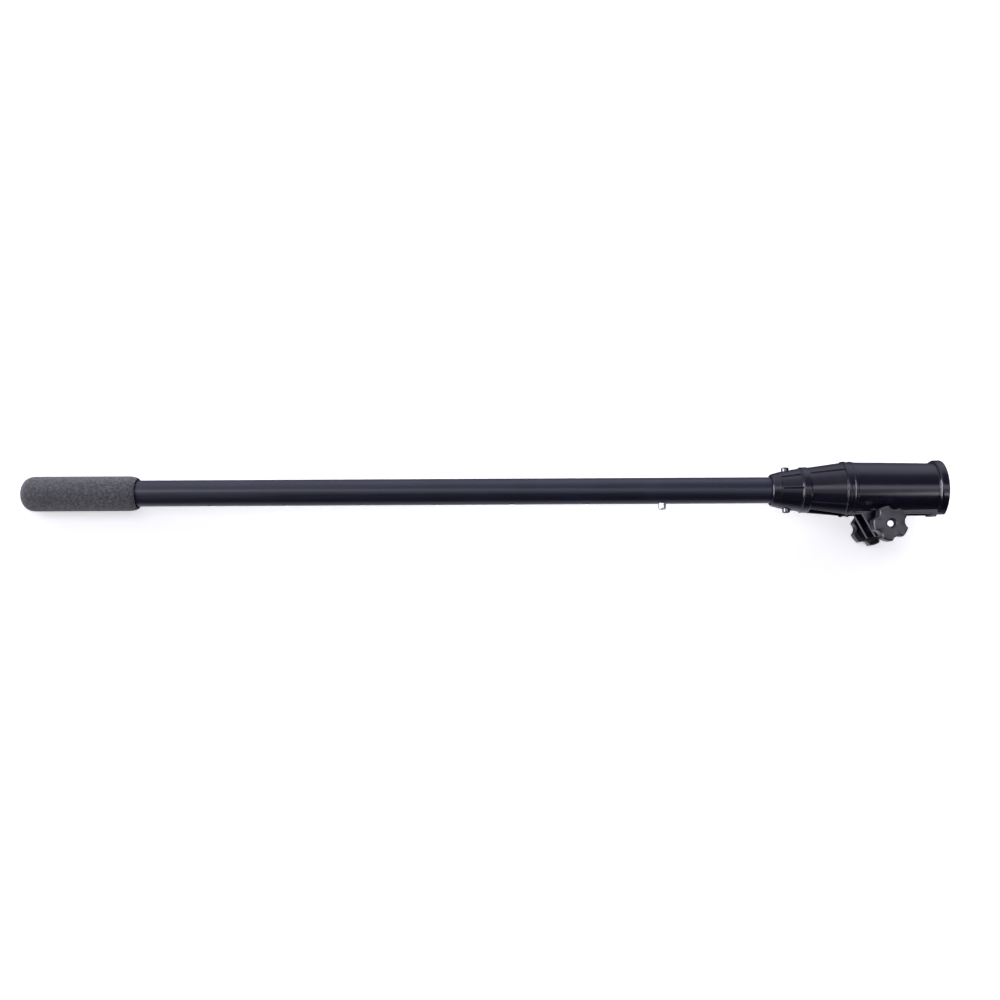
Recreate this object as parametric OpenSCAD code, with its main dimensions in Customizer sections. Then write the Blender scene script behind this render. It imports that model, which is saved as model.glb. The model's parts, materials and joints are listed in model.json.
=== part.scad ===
// Telescoping extension handle for an outboard motor's tiller.
// A foam-gripped inner tube slides in an outer tube and locks in one of its seven holes.
// The outer tube ends in a split clamp socket, which two star knobs squeeze onto the tiller grip.
// Frame: origin at the centre of the socket's mouth, +X out of the mouth, the tubes along -X,
// the clamp ears towards -Y, and the clamp screw along Z.

/* [Tubes] */
// Outside diameter of the outer tube
outer_tube_d = 22.2; // [21.6:0.1:22.8]
// Wall of the outer tube
outer_tube_wall = 1.45; // [1.2:0.05:1.45]
// Outside diameter of the inner tube
inner_tube_d = 19.1; // [18.4:0.1:19.1]
// Wall of the inner tube
inner_tube_wall = 1.25; // [1:0.05:1.3]
// Distance between neighbouring lock holes
hole_pitch = 63.5; // [50:0.5:64]
// Number of lock holes in the outer tube
hole_count = 7; // [3:1:7]
// Place of the lock hole nearest the socket, measured back from the mouth
first_hole = 234.6; // [230:0.1:245]
// Free end of the outer tube, measured back from the mouth
outer_tube_end = 681; // [670:1:690]

/* [Grip] */
// Outside diameter of the foam grip
grip_d = 29.8; // [27:0.1:34]
// Length of the foam grip
grip_length = 98; // [90:0.5:130]
// Radius of the rounded end of the grip
grip_end_round = 10; // [4:0.5:11]
// How far the grip's mouth reaches over the outer tube when it is collapsed
grip_overlap = 3.5; // [2:0.1:6]

/* [Snap button] */
// Diameter of the snap button
button_d = 6.2; // [5:0.1:6.4]
// How far the button stands out of the outer tube
button_proud = 5.1; // [3:0.1:6]

/* [Socket] */
// Inside diameter of the rubber liner, which is the grip size that the socket takes
socket_bore_d = 35; // [33:0.5:36]
// Depth of the socket
socket_depth = 75; // [60:1:76]
// Wall of the rubber liner
liner_wall = 2.05; // [1:0.05:2.5]
// Width of the slot that lets the clamp close
slot_width = 17; // [8:0.5:18]
// Thickness of each clamp ear
ear_thickness = 4.5; // [4:0.1:5]
// Outside diameter of the rolled ring round the mouth
mouth_ring_d = 49.2; // [47:0.1:52]
// Length of the mouth ring
mouth_ring_length = 7.3; // [5:0.1:10]

/* [Clamp screw] */
// Place of the clamp screw, measured back from the mouth
screw_back = 52; // [48:0.1:54]
// Distance of the clamp screw from the socket's centre line
screw_side = 31; // [30:0.1:34]
// Thread diameter of the clamp screw
screw_d = 6; // [5:0.5:6]
// Thread pitch of the clamp screw
screw_pitch = 1; // [0.8:0.05:1.25]

/* [Star knobs] */
// Diameter over the lobes
knob_d = 29; // [27:0.1:30]
// Radius of the scallops between the lobes
knob_scallop_r = 5.9; // [4:0.1:6]
// Height of a knob's lobed head
knob_head_h = 11.5; // [9:0.5:12]
// Height of the plain hub that stands the upper knob's head off its washer
upper_hub_h = 5.8; // [3:0.1:7]
// Height of the plain hub that stands the lower knob's head off its washer
lower_hub_h = 11.2; // [3:0.1:12]
// Number of lobes
knob_lobes = 5; // [5:1:7]
// Thickness of the washer under each knob
washer_t = 1.2; // [1:0.1:1.6]

/* [Hidden] */
$fn = 64;

// running gap round a sliding or turning piece, and the gap round a piece that is pushed in
running_gap = 0.1;
fitted_gap = 0.03;
// overshoot of a cutter past the surface that it cuts
cut = 1;

// tubes
outer_r = outer_tube_d / 2;
outer_bore_r = outer_r - outer_tube_wall;
inner_r = inner_tube_d / 2;
inner_bore_r = inner_r - inner_tube_wall;
tube_seat = 84.2;
lock_hole_r = button_d / 2 + 2 * running_gap;

// grip
grip_mouth = outer_tube_end - grip_overlap;
grip_end = grip_mouth + grip_length;
grip_floor = 4.5;
plug_flange = 1.5;
inner_tube_end = grip_end - grip_floor - plug_flange;
grip_counterbore = grip_overlap + 1;
grip_lip = [7, 1.8];
grip_mouth_gap = 1.3;
inner_tube_tail = first_hole - 30;

// snap button and its leaf spring
button_r = button_d / 2;
button_tip = outer_r + button_proud;
button_flange_r = 3.8;
button_flange_t = 0.8;
button_flange_out = 7.2;
button_tip_round = 1.8;
leaf_t = 0.6;
leaf_w = 5;
leaf_length = 30;

// anchor plug and collar screws
anchor_plug = [122, 140];
anchor_bore_r = 3;
collar_screw_back = 130;
collar_screw_r = 1.6;
collar_head_r = 3.2;
collar_head_seat = 15.6;
collar_head_top = 19.3;
collar_pocket_r = 4.3;

// socket
liner_r = socket_bore_d / 2;
cup_bore_r = liner_r + liner_wall + fitted_gap;
ring_r = mouth_ring_d / 2;
ring_round = 2.2;
ring_front_round = 0.8;
ring_flat_side = 22.2;
flat_side = 21.2;
panel_depth = 0.8;
flange_start = 111.1;
// sunk panels: their span, and the angles that they reach towards the ears and away from them
collar_panel = [119.3, 136.2];
collar_panel_angles = [55, 43];
cone_panel = [83.6, 111.7];
cone_panel_angles = [38, 45];
core_r = 13.4;
core_depth = 108;
web_t = 2;
web_count = 6;

// ears
ear_in = slot_width / 2;
ear_out = ear_in + ear_thickness;
ear_tip = 40.3;
ear_hole_r = screw_d / 2 + running_gap;
nub = [12.1, 7.9, 1.7];

// clamp hardware
stud_r = screw_d / 2;
stud_chamfer = 0.5;
stud_head_r = 5;
stud_head = [20, 24];
washer_r = 6.6;
knob_in = ear_out + washer_t;
knob_out = knob_in + upper_hub_h + knob_head_h;
knob_hub_r = 8;
knob_rim = 1.6;
knob_cavity = 8;
knob_hole_r = 4;
stud_end = knob_out - 3.3;
insert_r = 4.8;
insert_h = 9.5;

// knob outline: the corners between crests and scallops are rounded arcs tangent to both
knob_step = 360 / knob_lobes;
knob_corner_r = 0.9;
knob_corner_at = knob_d / 2 - knob_corner_r;
knob_scallop_at = knob_d / 2 + 3.1;
knob_scallop_reach = knob_scallop_r + knob_corner_r;
knob_corner_turn = acos((pow(knob_corner_at, 2) + pow(knob_scallop_at, 2) - pow(knob_scallop_reach, 2))
  / (2 * knob_corner_at * knob_scallop_at));
knob_scallop_turn = asin(knob_corner_at * sin(knob_corner_turn) / knob_scallop_reach);

// A solid of revolution about X. The outline's points are [distance back from the mouth, radius].
module turned(outline) {
  rotate([0, -90, 0]) rotate_extrude() polygon([for (p = outline) [p[1], p[0]]]);
}

// A rod along X between two distances back from the mouth.
module rod(from, to, r) {
  turned([[from, 0], [from, r], [to, r], [to, 0]]);
}

// A straight hole or pin along Z at the clamp screw.
module at_screw(low, high, r) {
  translate([-screw_back, -screw_side, low]) cylinder(h = high - low, r = r);
}

// Points of an arc, from one angle to another, for a turned outline.
function arc(centre, r, from, to, steps = 8) =
  [for (i = [0 : steps]) let (a = from + (to - from) * i / steps) centre + r * [cos(a), sin(a)]];

// Unit vector at an angle.
function heading(a) = [cos(a), sin(a)];

// Closed outline of a knob, with its first scallop at the given angle.
function star_outline(first) = [
  for (k = [0 : knob_lobes - 1])
    let (a = first + k * knob_step, crest = [a + knob_corner_turn, a + knob_step - knob_corner_turn])
      for (p = concat(
        arc(knob_scallop_at * heading(a), knob_scallop_r,
          a + 180 + 0.8 * knob_scallop_turn, a + 180 - 0.8 * knob_scallop_turn, 6),
        arc(knob_corner_at * heading(crest[0]), knob_corner_r, a - knob_scallop_turn, crest[0], 4),
        arc([0, 0], knob_d / 2, crest[0] + 5, crest[1] - 5, 4),
        arc(knob_corner_at * heading(crest[1]), knob_corner_r, crest[1], a + knob_step + knob_scallop_turn, 4)
      )) p
];

// A star knob that stands up from its washer: a plain hub in a lobed head that is hollow underneath.
module star_knob(hub_h, first) {
  outline = star_outline(first);
  translate([-screw_back, -screw_side, knob_in]) {
    cylinder(h = hub_h + knob_cavity + 1, r = knob_hub_r);
    translate([0, 0, hub_h]) difference() {
      linear_extrude(knob_head_h) polygon(outline);
      translate([0, 0, -cut]) linear_extrude(knob_cavity + cut)
        polygon([for (p = outline) p * (1 - knob_rim / norm(p))]);
    }
  }
}

module foam_grip() {
  lip_r = grip_d / 2 - grip_lip[1];
  color("#3c3d42") difference() {
    turned(concat(
      [[grip_mouth, 0], [grip_mouth, lip_r]],
      [[grip_mouth + 2, lip_r + 0.65 * grip_lip[1]], [grip_mouth + grip_lip[0], grip_d / 2]],
      arc([grip_end - grip_end_round, grip_d / 2 - grip_end_round], grip_end_round, 90, 0),
      [[grip_end, 0]]
    ));
    rod(grip_mouth - cut, grip_mouth + grip_counterbore, outer_r + grip_mouth_gap);
    rod(grip_mouth, grip_end - grip_floor, inner_r + fitted_gap);
  }
}

module grip_end_plug() {
  color("#202124") {
    rod(inner_tube_end - 10, inner_tube_end, inner_bore_r - fitted_gap);
    rod(inner_tube_end, inner_tube_end + plug_flange - fitted_gap, inner_r);
  }
}

module inner_tube() {
  color("#2c3038") difference() {
    rod(inner_tube_tail, inner_tube_end, inner_r);
    rod(inner_tube_tail - cut, inner_tube_end + cut, inner_bore_r);
    translate([-first_hole, 0, 0]) rotate([90, 0, 0]) cylinder(h = inner_r + cut, r = button_r + running_gap);
  }
}

module inner_tube_tail_plug() {
  color("#1c1d20") {
    rod(inner_tube_tail, inner_tube_tail + 11, inner_bore_r - fitted_gap);
    rod(inner_tube_tail - 2, inner_tube_tail, inner_r);
  }
}

module snap_button() {
  color("#c9ccd0") translate([-first_hole, 0, 0]) rotate([90, 0, 0]) rotate_extrude() polygon(concat(
    [[0, button_flange_out - button_flange_t], [button_flange_r, button_flange_out - button_flange_t]],
    [[button_flange_r, button_flange_out], [button_r, button_flange_out]],
    arc([button_r - button_tip_round, button_tip - button_tip_round], button_tip_round, 0, 90),
    [[0, button_tip]]
  ));
}

// A bent leaf: one leg bears on the button's flange, the other on the far wall of the tube.
module button_spring() {
  near_y = -(button_flange_out - button_flange_t) + leaf_t / 2 + fitted_gap;
  far_y = inner_bore_r - leaf_t / 2 - 0.5;
  route = [
    [4, near_y], [-5, near_y], [2 - leaf_length, -1.6], [-leaf_length, 0.4],
    [2 - leaf_length, 2.4], [-4, far_y], [3, far_y]
  ];
  color("#aeb2b8") translate([-first_hole, 0, -leaf_w / 2]) linear_extrude(leaf_w)
    for (i = [0 : len(route) - 2])
      hull() for (p = [route[i], route[i + 1]]) translate(p) circle(r = leaf_t / 2, $fn = 16);
}

module outer_tube() {
  color("#343a46") difference() {
    rod(tube_seat, outer_tube_end, outer_r);
    rod(tube_seat - cut, outer_tube_end + cut, outer_bore_r);
    for (i = [0 : hole_count - 1])
      translate([-first_hole - i * hole_pitch, 0, 0]) rotate([90, 0, 0]) cylinder(h = outer_r + cut, r = lock_hole_r);
    collar_screw_holes();
  }
}

module tube_anchor_plug() {
  color("#24262a") difference() {
    rod(anchor_plug[0], anchor_plug[1], outer_bore_r - fitted_gap);
    rod(anchor_plug[0] - cut, anchor_plug[1] + cut, anchor_bore_r);
    collar_screw_holes();
  }
}

module collar_screw_holes() {
  reach = mouth_ring_d / 2;
  translate([-collar_screw_back, reach, 0]) rotate([90, 0, 0])
    cylinder(h = 2 * reach, r = collar_screw_r + fitted_gap);
}

module collar_screws() {
  dome = 1.2;
  shank_end = 5;
  recess = [3.6, 0.9, 1.1];
  color("#b9bcc0") for (side = [0, 180]) translate([-collar_screw_back, 0, 0]) rotate([90, 0, side])
    difference() {
      rotate_extrude() polygon(concat(
        [[0, shank_end], [collar_screw_r, shank_end + 1], [collar_screw_r, collar_head_seat]],
        [[collar_head_r, collar_head_seat]],
        arc([collar_head_r - dome, collar_head_top - dome], dome, 0, 90, 4),
        [[0, collar_head_top]]
      ));
      for (turn = [45, 135]) rotate([0, 0, turn])
        translate([-recess[0] / 2, -recess[1] / 2, collar_head_top - recess[2]]) cube([recess[0], recess[1], 2]);
    }
}

// The outer form of the moulding: rim, screw collar, band, cone, two ridges, cup and mouth ring.
module socket_envelope() {
  turned(concat(
    [[143.4, 0], [143.4, 12.3], [143.2, 12.9], [142.7, 13.4], [142, 13.7], [137.2, 15], [136.6, 15.3]],
    [[118.9, 18.4], [118.4, 19.3], [112.9, 19.4], [112.3, 18.9]],
    [[83.8, 22.9], [83.2, 23.9], [80.8, 24], [80.4, 23.3], [77.6, 23.3], [77.2, 23.9], [75.2, 23.9], [74.8, 23.2]],
    [[mouth_ring_length + 0.6, 22.2]],
    [[mouth_ring_length, ring_r - ring_round]],
    arc([mouth_ring_length - ring_round, ring_r - ring_round], ring_round, 0, 90, 5),
    arc([ring_front_round, ring_r - ring_front_round], ring_front_round, 90, 180, 5),
    [[0, 0]]
  ));
}

// A shallow sunk panel between side ribs, on the top (side 0) or the underside (side 1).
module sunk_panel(side, span, angles, floor_near, floor_far) {
  reach = 30;
  intersection() {
    difference() {
      rod(span[0], span[1], reach);
      turned([[span[0] - cut, 0], [span[0] - cut, floor_near], [span[1] + cut, floor_far], [span[1] + cut, 0]]);
    }
    mirror([0, 0, side]) rotate([90, 0, -90]) linear_extrude(span[1] + cut)
      polygon([[0, 0], [reach * tan(angles[0]), reach], [-reach * tan(angles[1]), reach]]);
  }
}

// One clamp ear with the flange that joins it to the cup.
module ear(low) {
  translate([0, 0, low]) linear_extrude(ear_thickness) polygon([
    [-83, -14], [-83, -flat_side + 0.4], [-69.6, -flat_side + 0.4],
    [-59.4, -ear_tip], [-48, -ear_tip], [-41, -37.8], [-37.5, -32], [-37.5, -flat_side],
    [-nub[1], -flat_side], [-nub[1], -ring_flat_side], [-2, -ring_flat_side], [-2, -14]
  ]);
}

// The lower flange's run along the cone; on the upper side the cone's own wall edges the slot.
module cone_flange() {
  translate([0, 0, -ear_out]) linear_extrude(ear_thickness) polygon([
    [-flange_start, -14], [-flange_start, -18.3], [-83, -flat_side + 0.4], [-83, -14]
  ]);
}

// Small lug beside the mouth ring, on the upper flange only.
module rest_nub() {
  translate([-nub[0], -flat_side - nub[2], ear_in]) cube([nub[0] - nub[1], nub[2] + cut, ear_thickness]);
}

// Blind annular core behind the cup, crossed by webs.
module cone_core() {
  difference() {
    turned([[socket_depth, core_r], [core_depth, core_r], [core_depth, 16.2], [socket_depth, cup_bore_r - 0.6]]);
    for (i = [0 : web_count - 1]) rotate([i * 360 / web_count, 0, 0])
      translate([-core_depth - cut, -web_t / 2, 0]) cube([core_depth, web_t, ring_r]);
  }
}

module socket_body() {
  color("#26272b") difference() {
    union() {
      socket_envelope();
      ear(ear_in);
      ear(-ear_out);
      cone_flange();
      rest_nub();
    }
    for (side = [0, 1]) {
      sunk_panel(side, collar_panel, collar_panel_angles, 18.3 - panel_depth, 15.3 - panel_depth);
      sunk_panel(side, cone_panel, cone_panel_angles, 22.9 - panel_depth, 18.9 - panel_depth);
    }
    cone_core();
    rod(-cut, socket_depth + fitted_gap, cup_bore_r);
    rod(tube_seat - fitted_gap, 150, outer_r + fitted_gap);
    // the clamp slot, its run through the cone's outer wall, and the flat on the mouth ring
    translate([-82, -60, -ear_in]) cube([90, 60, slot_width]);
    translate([-flange_start - cut, -60, -ear_in]) cube([40, 60 - core_r - 0.6, slot_width]);
    translate([-mouth_ring_length, -60, -60]) cube([20, 60 - ring_flat_side, 120]);
    // expansion slit in the top of the collar
    translate([-135, -0.6, outer_r - 1]) cube([16, 1.2, 12]);
    at_screw(-ear_out - cut, ear_out + cut, ear_hole_r);
    collar_screw_holes();
    for (side = [0, 180]) rotate([90, 0, side]) translate([-collar_screw_back * (side == 0 ? 1 : -1), 0, collar_head_seat])
      cylinder(h = 6, r = collar_pocket_r);
  }
}

module socket_liner() {
  color("#17171a") difference() {
    rod(0, socket_depth, liner_r + liner_wall);
    rod(-cut, socket_depth + cut, liner_r);
    translate([-socket_depth - cut, -60, -ear_in]) cube([socket_depth + 2 * cut, 60, slot_width]);
  }
}

module clamp_stud() {
  color("#d2d4d8") union() {
    at_screw(-stud_head[1], stud_end - stud_chamfer, stud_r);
    at_screw(-stud_head[1], -stud_head[0], stud_head_r);
    translate([-screw_back, -screw_side, stud_end - stud_chamfer])
      cylinder(h = stud_chamfer, r1 = stud_r, r2 = stud_r - stud_chamfer);
  }
}

module lower_knob() {
  color("#33343a") difference() {
    mirror([0, 0, 1]) star_knob(lower_hub_h, 180);
    at_screw(-stud_head[1] - fitted_gap, -stud_head[0] + fitted_gap, stud_head_r + fitted_gap);
    at_screw(-stud_head[0], cut, stud_r + fitted_gap);
  }
}

module washer(low) {
  color("#b4b7bc") difference() {
    at_screw(low, low + washer_t, washer_r);
    at_screw(low - cut, low + washer_t + cut, stud_r + running_gap);
  }
}

module lower_washer() {
  washer(-knob_in);
}

module upper_washer() {
  washer(ear_out);
}

module upper_knob() {
  color("#3a3b41") difference() {
    star_knob(upper_hub_h, 148.4);
    at_screw(knob_in - cut, knob_in + insert_h + fitted_gap, insert_r + fitted_gap);
    at_screw(knob_in, knob_out + cut, knob_hole_r);
  }
}

module upper_knob_insert() {
  color("#8d9197") difference() {
    at_screw(knob_in, knob_in + insert_h, insert_r);
    at_screw(knob_in - cut, knob_in + insert_h + cut, stud_r + running_gap / 2);
  }
}

foam_grip();
grip_end_plug();
inner_tube();
inner_tube_tail_plug();
snap_button();
button_spring();
outer_tube();
tube_anchor_plug();
collar_screws();
socket_body();
socket_liner();
clamp_stud();
lower_knob();
lower_washer();
upper_washer();
upper_knob();
upper_knob_insert();
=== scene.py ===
"""Looks for the telescoping tiller extension handle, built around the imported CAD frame.

Units are metres in the row frame: the origin is the centre of the socket's mouth, +X points out of it, the
tubes run along -X, the clamp ears point to -Y and the clamp screw runs along Z.
"""

import json
import math

import bpy
from mathutils import Euler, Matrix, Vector, noise


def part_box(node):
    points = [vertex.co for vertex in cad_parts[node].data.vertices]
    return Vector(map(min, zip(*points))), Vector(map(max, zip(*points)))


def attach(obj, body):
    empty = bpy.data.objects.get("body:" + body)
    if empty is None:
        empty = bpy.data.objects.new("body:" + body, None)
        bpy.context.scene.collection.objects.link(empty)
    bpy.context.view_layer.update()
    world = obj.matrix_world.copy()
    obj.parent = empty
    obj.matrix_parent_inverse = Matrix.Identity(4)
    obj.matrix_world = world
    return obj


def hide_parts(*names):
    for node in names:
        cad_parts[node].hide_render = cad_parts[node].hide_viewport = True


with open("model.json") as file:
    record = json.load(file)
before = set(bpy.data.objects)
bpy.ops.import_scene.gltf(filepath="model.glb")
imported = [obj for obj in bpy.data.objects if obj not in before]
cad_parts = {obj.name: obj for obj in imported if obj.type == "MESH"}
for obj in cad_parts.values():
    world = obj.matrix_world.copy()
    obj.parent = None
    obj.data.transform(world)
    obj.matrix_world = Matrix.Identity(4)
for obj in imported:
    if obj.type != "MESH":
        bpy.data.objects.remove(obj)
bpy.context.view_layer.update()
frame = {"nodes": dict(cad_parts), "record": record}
MM = 0.001
SCREW_X, SCREW_Y = -52.0, -31.0  # the clamp screw's axis, in mm
PINHOLE = 0.02  # radius in mm of the last ring where a turned shape meets its axis
NOISE_SPAN = (0.3, 0.7)  # the part of a noise texture's range that holds most of its values


# ---------------------------------------------------------------- camera, floor and light

def add_camera():
    """A camera almost straight above the handle, leaning a little towards the ears' side."""
    lens_mm = 41.4
    distance = 0.972
    elevation = math.radians(84)
    roll = math.radians(-0.3)
    aim = Vector((-0.3715, -0.00705, 0.0))
    back = Vector((0, -math.cos(elevation), math.sin(elevation)))
    data = bpy.data.cameras.new("camera")
    data.lens = lens_mm
    data.sensor_width = 36
    camera = bpy.data.objects.new("camera", data)
    bpy.context.scene.collection.objects.link(camera)
    camera.location = aim + back * distance
    camera.rotation_mode = "QUATERNION"
    camera.rotation_quaternion = (-back).to_track_quat("-Z", "Y") @ Euler((0, 0, roll)).to_quaternion()
    bpy.context.scene.camera = camera


def add_floor():
    """A pale floor just under the grip and the lower knob, so it leans a few degrees."""
    width, gap = 60, 0.0004
    grip_low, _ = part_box("foam_grip")
    knob_low, knob_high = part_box("lower_knob")
    knob_x = (knob_low.x + knob_high.x) / 2
    bpy.ops.mesh.primitive_plane_add(size=width)
    floor = bpy.context.object
    floor.name = "floor"
    floor.location = (knob_x, 0, knob_low.z - gap)
    floor.rotation_euler = (0, math.atan2(grip_low.z - knob_low.z, knob_x - grip_low.x), 0)
    material, _, shader = new_material("floor")
    shader.inputs["Base Color"].default_value = (0.93, 0.93, 0.935, 1)
    shader.inputs["Roughness"].default_value = 0.85
    shader.inputs["Emission Color"].default_value = (1, 1, 1, 1)
    shader.inputs["Emission Strength"].default_value = 0.57
    floor.data.materials.append(material)
    floor.visible_glossy = False


def add_softbox(name, place, aim, size, radiance, diffuse=True, glossy=True, tint=(1, 1, 1)):
    """An area light of a given radiance. It can be kept out of the diffuse or the glossy light."""
    data = bpy.data.lights.new(name, "AREA")
    data.shape = "RECTANGLE"
    data.size, data.size_y = size
    data.energy = radiance * math.pi * size[0] * size[1]
    data.color = tint
    light = bpy.data.objects.new(name, data)
    bpy.context.scene.collection.objects.link(light)
    light.visible_diffuse = diffuse
    light.visible_glossy = glossy
    light.location = place
    light.rotation_euler = (Vector(aim) - Vector(place)).to_track_quat("-Z", "Y").to_euler()


def add_node(tree, kind, **values):
    node = tree.nodes.new(kind)
    for key, value in values.items():
        setattr(node, key, value)
    return node


def map_range(tree, source, start, stop, low, high, interpolation="LINEAR"):
    """The source, carried over from the span start to stop onto the span low to high."""
    node = add_node(tree, "ShaderNodeMapRange", interpolation_type=interpolation)
    for name, value in (("From Min", start), ("From Max", stop), ("To Min", low), ("To Max", high)):
        node.inputs[name].default_value = value
    tree.links.new(source, node.inputs["Value"])
    return node.outputs["Result"]


def smooth_step(tree, source, start, stop, low=0.0, high=1.0):
    return map_range(tree, source, start, stop, low, high, interpolation="SMOOTHSTEP")


def combined(tree, operation, *sources):
    """All the values multiplied together, or added up."""
    total = sources[0]
    for source in sources[1:]:
        node = add_node(tree, "ShaderNodeMath", operation=operation)
        tree.links.new(total, node.inputs[0])
        tree.links.new(source, node.inputs[1])
        total = node.outputs["Value"]
    return total


def add_world():
    """A dim room: a ceiling, a wall on the side away from the ears, a table and a faint shade."""
    world = bpy.data.worlds.new("studio")
    world.use_nodes = True
    tree = world.node_tree
    place = add_node(tree, "ShaderNodeTexCoord")
    split = add_node(tree, "ShaderNodeSeparateXYZ")
    tree.links.new(place.outputs["Generated"], split.inputs["Vector"])
    x, y, z = (split.outputs[axis] for axis in "XYZ")
    ceiling = combined(tree, "MULTIPLY",
                       smooth_step(tree, y, -0.1, 0.9, low=0.09, high=0.85),
                       smooth_step(tree, x, -0.3, 0.38, low=1.25, high=0.22),
                       smooth_step(tree, z, 0.1, 0.5))
    wall = combined(tree, "MULTIPLY",
                    smooth_step(tree, y, 0.3, 0.8),
                    smooth_step(tree, z, -0.9, 0.05),
                    smooth_step(tree, z, 0.15, 0.6, low=1.15, high=0))
    table = combined(tree, "MULTIPLY",
                     smooth_step(tree, y, 0, -0.3),
                     smooth_step(tree, z, 0, -0.6, low=0, high=0.85))
    shade = smooth_step(tree, z, 0.1, -0.1, low=0.02, high=0.1)
    background = tree.nodes["Background"]
    tree.links.new(combined(tree, "ADD", ceiling, wall, table, shade), background.inputs["Strength"])
    background.inputs["Color"].default_value = (0.84, 0.84, 1, 1)
    bpy.context.scene.world = world


def add_lights():
    middle, mouth, socket = (-0.37, 0, 0), (-0.03, 0, 0), (-0.1, 0, 0)
    cool = (0.90, 0.88, 1)
    add_softbox("overhead", (-0.35, 0.17, 1.15), middle, (2.6, 0.34), 1.6, tint=cool)
    add_softbox("overhead_spill", (-0.35, 0.05, 1.2), middle, (2.6, 0.75), 0.65, tint=cool)
    add_softbox("side", (0.15, 1.5, 0.75), middle, (2.6, 0.5), 5.6, glossy=False)
    add_softbox("end", (0.72, -0.52, 1.0), mouth, (0.42, 0.6), 4.2, diffuse=False, tint=cool)
    add_softbox("left", (-2.1, 0.0, 0.85), socket, (1.9, 1.1), 17.0, diffuse=False, tint=cool)


# ---------------------------------------------------------------- materials

def new_material(name):
    material = bpy.data.materials.new(name)
    material.use_nodes = True
    return material, material.node_tree, material.node_tree.nodes["Principled BSDF"]


def shaded(tone, factor):
    """The tone made darker or lighter, as an opaque colour."""
    return tuple(min(1.0, factor * c) for c in tone) + (1,)


def object_noise(tree, scale, detail=3.0, stretch=(1, 1, 1), roughness=0.5):
    """Noise in object space, in features per metre, stretched along an axis where asked."""
    place = add_node(tree, "ShaderNodeTexCoord")
    mapping = add_node(tree, "ShaderNodeMapping")
    mapping.inputs["Scale"].default_value = stretch
    texture = add_node(tree, "ShaderNodeTexNoise")
    texture.inputs["Scale"].default_value = scale
    texture.inputs["Detail"].default_value = detail
    texture.inputs["Roughness"].default_value = roughness
    tree.links.new(place.outputs["Object"], mapping.inputs["Vector"])
    tree.links.new(mapping.outputs["Vector"], texture.inputs["Vector"])
    return texture.outputs["Fac"]


def ramp(tree, source, low, high, span=NOISE_SPAN):
    node = add_node(tree, "ShaderNodeValToRGB")
    for element, position, colour in zip(node.color_ramp.elements, span, (low, high)):
        element.position = position
        element.color = colour
    tree.links.new(source, node.inputs["Fac"])
    return node.outputs["Color"]


def level(tree, source, low, high):
    """A plain value that goes from low to high with the noise."""
    return map_range(tree, source, *NOISE_SPAN, low, high)


def bump(tree, shader, source, strength, distance):
    node = add_node(tree, "ShaderNodeBump")
    node.inputs["Strength"].default_value = strength
    node.inputs["Distance"].default_value = distance
    tree.links.new(source, node.inputs["Height"])
    tree.links.new(node.outputs["Normal"], shader.inputs["Normal"])
    return node


def foam_material():
    """Charcoal closed-cell foam: fine cells, a pale speckle and no gloss."""
    material, tree, shader = new_material("grip_foam")
    cells = object_noise(tree, 460, detail=5, roughness=0.9)
    colour = ramp(tree, cells, (0.003, 0.004, 0.009, 1), (0.150, 0.153, 0.170, 1), span=(0.45, 0.66))
    tree.links.new(colour, shader.inputs["Base Color"])
    shader.inputs["Roughness"].default_value = 0.92
    shader.inputs["Sheen Weight"].default_value = 0.25
    shader.inputs["Sheen Roughness"].default_value = 0.6
    bump(tree, shader, cells, 0.8, 0.0012)
    return material


def anodised_material(name, tone):
    """Satin anodised tube: drawing lines along its length under a thin dyed film."""
    material, tree, shader = new_material(name)
    lines = object_noise(tree, 900, detail=3, stretch=(0.02, 1, 1))
    patches = object_noise(tree, 30, detail=2)
    colour = ramp(tree, patches, shaded(tone, 0.82), shaded(tone, 1.18))
    tree.links.new(colour, shader.inputs["Base Color"])
    tree.links.new(level(tree, lines, 0.27, 0.36), shader.inputs["Roughness"])
    shader.inputs["Specular IOR Level"].default_value = 0.55
    bump(tree, shader, lines, 0.1, 0.0001)
    return material


def moulded_material(name, tone, rough, grain, grain_depth, edge=0.0):
    """Injection-moulded plastic with a fine spark-eroded grain. edge rounds how edges catch the light."""
    spread = 0.15
    material, tree, shader = new_material(name)
    fine = object_noise(tree, grain, detail=2)
    broad = object_noise(tree, 60, detail=3)
    colour = ramp(tree, broad, shaded(tone, 1 - spread), shaded(tone, 1 + spread))
    tree.links.new(colour, shader.inputs["Base Color"])
    tree.links.new(level(tree, broad, rough - 0.03, rough + 0.04), shader.inputs["Roughness"])
    shader.inputs["Specular IOR Level"].default_value = 0.5
    surface = bump(tree, shader, fine, 0.2, grain_depth)
    if edge:
        rounded = add_node(tree, "ShaderNodeBevel", samples=8)
        rounded.inputs["Radius"].default_value = edge
        tree.links.new(rounded.outputs["Normal"], surface.inputs["Normal"])
    return material


def steel_material(name, tone, rough):
    material, tree, shader = new_material(name)
    marks = object_noise(tree, 2500, detail=2)
    colour = ramp(tree, marks, shaded(tone, 0.9), shaded(tone, 1.08))
    tree.links.new(colour, shader.inputs["Base Color"])
    tree.links.new(level(tree, marks, rough - 0.05, rough + 0.07), shader.inputs["Roughness"])
    shader.inputs["Metallic"].default_value = 1.0
    return material


def rubber_material():
    material, tree, shader = new_material("liner_rubber")
    grain = object_noise(tree, 1200, detail=3)
    tree.links.new(ramp(tree, grain, (0.012, 0.012, 0.012, 1), (0.026, 0.026, 0.026, 1)),
                   shader.inputs["Base Color"])
    shader.inputs["Roughness"].default_value = 0.75
    bump(tree, shader, grain, 0.3, 0.0002)
    return material


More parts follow.
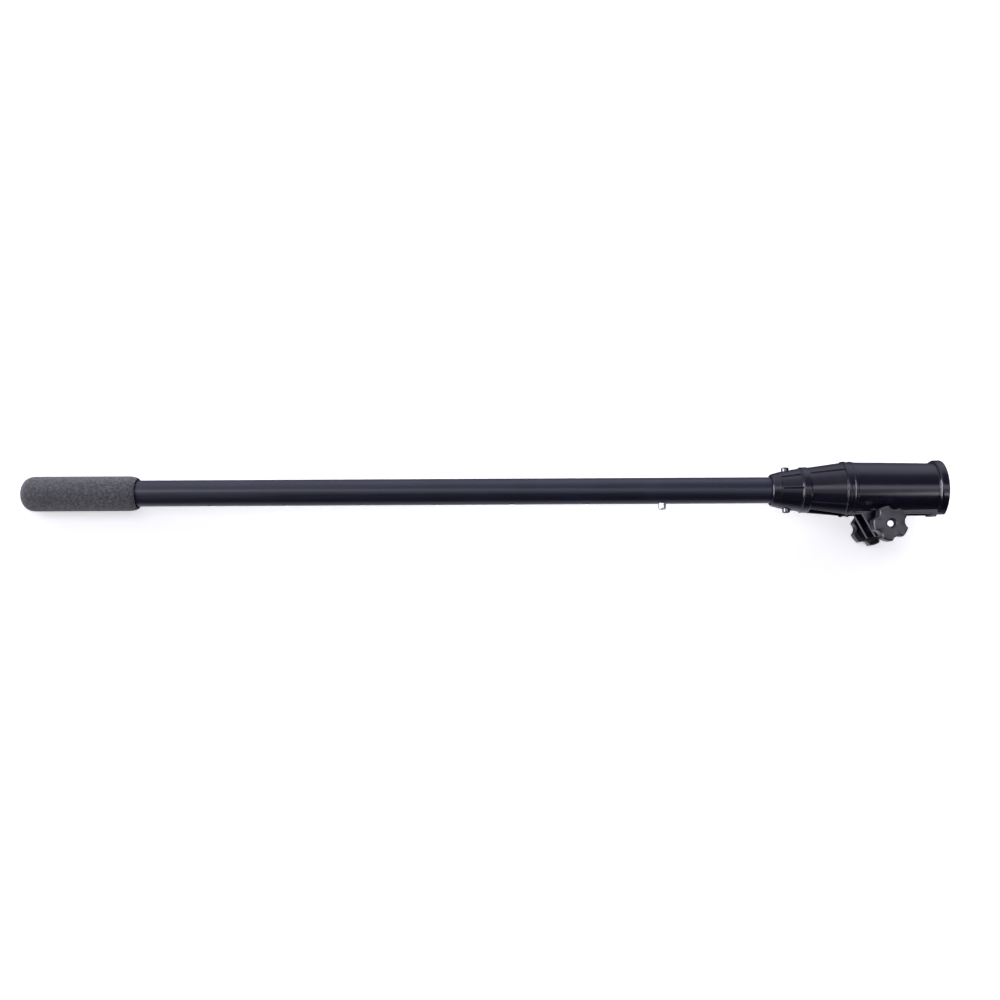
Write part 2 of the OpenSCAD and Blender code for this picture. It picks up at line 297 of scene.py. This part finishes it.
# ---------------------------------------------------------------- pieces that stand for CAD nodes

def mesh_object(name, points, faces):
    mesh = bpy.data.meshes.new(name)
    mesh.from_pydata(points, [], faces)
    mesh.validate()
    mesh.shade_smooth()
    piece = bpy.data.objects.new(name, mesh)
    bpy.context.scene.collection.objects.link(piece)
    return piece


def ring_faces(rings, around, closed):
    """Quads between neighbouring rings of points, and from the last back to the first if closed."""
    faces = []
    for i in range(rings if closed else rings - 1):
        j = (i + 1) % rings
        for k in range(around):
            n = (k + 1) % around
            faces.append((i * around + k, j * around + k, j * around + n, i * around + n))
    return faces


def spaced(outline, step):
    """The outline with extra points, so that no two are further apart than step."""
    points = [outline[0]]
    for a, b in zip(outline, outline[1:]):
        parts = max(1, math.ceil(math.dist(a, b) / step))
        points += [(a[0] + (b[0] - a[0]) * i / parts, a[1] + (b[1] - a[1]) * i / parts)
                   for i in range(1, parts + 1)]
    return points


def foam_outline(low, high, radius):
    """(x, r) in mm from the grip's mouth to the middle of its closed end."""
    mouth, end = high.x / MM, low.x / MM
    mouth_radius = 12.5
    # how far back from the mouth, and how far in from the grip's radius
    lip_steps = ((0, 1.9), (0.7, 1.35), (2.0, 0.8), (4.2, 0.3), (7.5, 0.05))
    lip = [(mouth, mouth_radius)] + [(mouth - back, radius - inset) for back, inset in lip_steps]
    # the end is a quarter of a superellipse
    depth, power, steps = 11.8, 2.3, 24
    round_end = []
    for i in range(steps + 1):
        t = math.radians(90 * i / steps)
        round_end.append((end + depth - depth * math.sin(t) ** (2 / power),
                          (radius - 0.05) * math.cos(t) ** (2 / power)))
    round_end[-1] = (end + PINHOLE, PINHOLE)
    return lip + round_end


def cell_push(x, y, z):
    """How far the foam's cells push its skin out at a place, all in mm."""
    spot, other_part = Vector((x, y, z)), Vector((7, 3, 5))
    highest = 0.1
    push = 0.085 * noise.noise(spot * 0.9) + 0.06 * noise.noise(spot * 2.3 + other_part)
    return min(push, highest)


def make_foam_grip(material):
    """The foam grip: a turned sleeve with a rounded closed end, a drawn-in lip and a cellular skin."""
    low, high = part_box("foam_grip")
    radius = (high.y - low.y) / 2 / MM - 0.1
    around, spacing = 150, 0.6
    skin = spaced(foam_outline(low, high, radius), spacing)
    bore_radius, counterbore_radius = 9.62, 12.4
    end_wall, counterbore_depth = 4.5, 4.5
    bore_end, bore_start = low.x / MM + end_wall, high.x / MM - counterbore_depth
    bore = [(bore_end, PINHOLE), (bore_end, bore_radius), (bore_start, bore_radius),
            (bore_start, counterbore_radius)]
    points = []
    for x, r in skin + bore:
        for k in range(around):
            a = 2 * math.pi * k / around
            y, z = r * math.cos(a), r * math.sin(a)
            outside = r > 12.0 or x < bore_end - 0.1
            push = cell_push(x, y, z) if outside else 0.0
            scale = 1 + push / max(r, 3.0)
            points.append(Vector((x + (0 if r > 8 else -push * 0.2), y * scale, z * scale)) * MM)
    piece = mesh_object("foam_grip_skin", points, ring_faces(len(skin) + len(bore), around, True))
    piece.data.materials.append(material)
    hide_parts("foam_grip")
    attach(piece, "extension")


def star_radius(angle, first):
    """Radius in mm of the knob's outline at an angle: crests, scallops and the rounded corners between."""
    lobes, crest, corner, scallop = 5, 14.5, 0.9, 5.9
    scallop_at, corner_at = crest + 3.1, crest - corner
    reach = scallop + corner
    corner_turn = math.acos((corner_at ** 2 + scallop_at ** 2 - reach ** 2) / (2 * corner_at * scallop_at))
    lean = math.asin(corner_at * math.sin(corner_turn) / reach)
    touch = (scallop_at - scallop * math.cos(lean), scallop * math.sin(lean))
    half_step = math.pi / lobes
    u = abs((angle - first + half_step) % (2 * half_step) - half_step)
    if u <= math.atan2(touch[1], touch[0]):
        return scallop_at * math.cos(u) - math.sqrt(scallop ** 2 - (scallop_at * math.sin(u)) ** 2)
    if u < corner_turn:
        v = corner_turn - u
        return corner_at * math.cos(v) + math.sqrt(corner ** 2 - (corner_at * math.sin(v)) ** 2)
    return crest


def knob_rings(side, hub_high):
    """Rings of a knob: (plain radius or None, inset from the star outline, height), all in mm."""
    bore = 4.86 if side > 0 else 3.04
    hub_low, hub_radius = 14.2, 8.0
    hollow_edge, hollow_top, top = hub_high + 7.5, hub_high + 7.95, hub_high + 11.5
    hub = [(bore, 0, hub_low + 0.02), (7.6, 0, hub_low + 0.02), (7.9, 0, hub_low + 0.12),
           (hub_radius, 0, hub_low + 0.4)]
    hollow = [(hub_radius, 0, hollow_edge), (8.3, 0, hollow_top), (None, 2.1, hollow_top),
              (None, 1.6, hollow_edge), (None, 1.6, hub_high + 0.3)]
    skirt = [(None, 1.35, hub_high + 0.02), (None, 0.35, hub_high + 0.02), (None, 0.08, hub_high + 0.15),
             (None, 0.0, hub_high + 0.5)]
    # the rounded shoulder and the gently domed face: how far in and how far down
    shoulder_steps = ((0.0, 2.9), (0.05, 2.3), (0.2, 1.75), (0.48, 1.3),
                      (0.9, 0.98), (1.5, 0.76), (2.3, 0.58), (3.4, 0.4))
    shoulder = [(None, inset, top - down) for inset, down in shoulder_steps]
    face = [(7.7, 0, top - 0.22), (6.5, 0, top - 0.08), (5.5, 0, top - 0.03)]
    if side > 0:
        # the screw's end shows in a hole, over the threaded insert
        insert_top = 23.8
        middle = [(4.5, 0, top - 0.03), (4.15, 0, top - 0.15), (4.0, 0, top - 0.5), (4.0, 0, insert_top),
                  (bore, 0, insert_top)]
    else:
        # a closed face, over the seat of the screw's head
        seat_top, seat_low, seat_radius, pole = 24.1, 19.95, 5.05, 0.03
        middle = [(3.0, 0, top - 0.02), (pole, 0, top - 0.02), (pole, 0, seat_top),
                  (seat_radius, 0, seat_top), (seat_radius, 0, seat_low), (bore, 0, seat_low)]
    return hub + hollow + skirt + shoulder + face + middle


def make_knob(node, body, side, first, hub_high, material):
    """A star knob, hollow under its domed face, on a plain hub. side is +1 for the upper one."""
    centre = Vector((SCREW_X, SCREW_Y, 0))
    around = 300
    rings = knob_rings(side, hub_high)
    points = []
    for plain, inset, height in rings:
        for k in range(around):
            a = 2 * math.pi * k / around
            r = plain if plain is not None else star_radius(a, first) - inset
            points.append((centre + Vector((r * math.cos(a), r * math.sin(a), side * height))) * MM)
    faces = ring_faces(len(rings), around, True)
    if side < 0:
        faces = [face[::-1] for face in faces]
    piece = mesh_object(node + "_moulding", points, faces)
    piece.data.materials.append(material)
    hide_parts(node)
    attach(piece, body)


def soften_edges():
    """Small rounded edges on the CAD parts whose own edges are sharp."""
    sharpest_kept = math.radians(13)
    # width in mm and number of segments
    bevels = {
        "socket_body": (0.4, 2),
        "clamp_stud": (0.4, 3),
        "upper_washer": (0.12, 2),
        "lower_washer": (0.12, 2),
        "outer_tube": (0.12, 2),
        "collar_screws": (0.15, 2),
    }
    for name, (width, segments) in bevels.items():
        bevel = frame["nodes"][name].modifiers.new("edges", "BEVEL")
        bevel.width = width * MM
        bevel.segments = segments
        bevel.limit_method = "ANGLE"
        bevel.angle_limit = sharpest_kept
        bevel.harden_normals = True
        bevel.use_clamp_overlap = True


def dress_nodes():
    """Gives every CAD node that stays the material of its slot."""
    made = {
        "grip_foam": foam_material(),
        "tube_anodised": anodised_material("tube_anodised", (0.009, 0.010, 0.026)),
        "inner_tube_anodised": anodised_material("inner_tube_anodised", (0.008, 0.009, 0.022)),
        "stainless": steel_material("stainless", (0.80, 0.81, 0.83), 0.30),
        "spring_steel": steel_material("spring_steel", (0.45, 0.46, 0.48), 0.35),
        "zinc_plate": steel_material("zinc_plate", (0.40, 0.41, 0.44), 0.36),
        "screw_steel": steel_material("screw_steel", (0.10, 0.10, 0.11), 0.24),
        "socket_plastic": moulded_material("socket_plastic", (0.0055, 0.005, 0.014), 0.18, 1400, 0.00003,
                                           edge=0.0007),
        "liner_rubber": rubber_material(),
        "knob_plastic": moulded_material("knob_plastic", (0.038, 0.038, 0.043), 0.34, 1800, 0.00005),
        "plug_plastic": moulded_material("plug_plastic", (0.02, 0.02, 0.022), 0.45, 1500, 0.0001),
    }
    for part in frame["record"]["subparts"]:
        node = frame["nodes"][part["node"]]
        node.data.materials.clear()
        node.data.materials.append(made[part["material_slot"]])
    return made


add_camera()
add_floor()
add_world()
add_lights()
bpy.context.scene.view_settings.view_transform = "Standard"
finishes = dress_nodes()
make_foam_grip(finishes["grip_foam"])
make_knob("upper_knob", "release_knob", side=1, first=math.radians(148.4), hub_high=20.0,
          material=finishes["knob_plastic"])
make_knob("lower_knob", "clamp_screw", side=-1, first=math.radians(180), hub_high=25.4,
          material=finishes["knob_plastic"])
soften_edges()
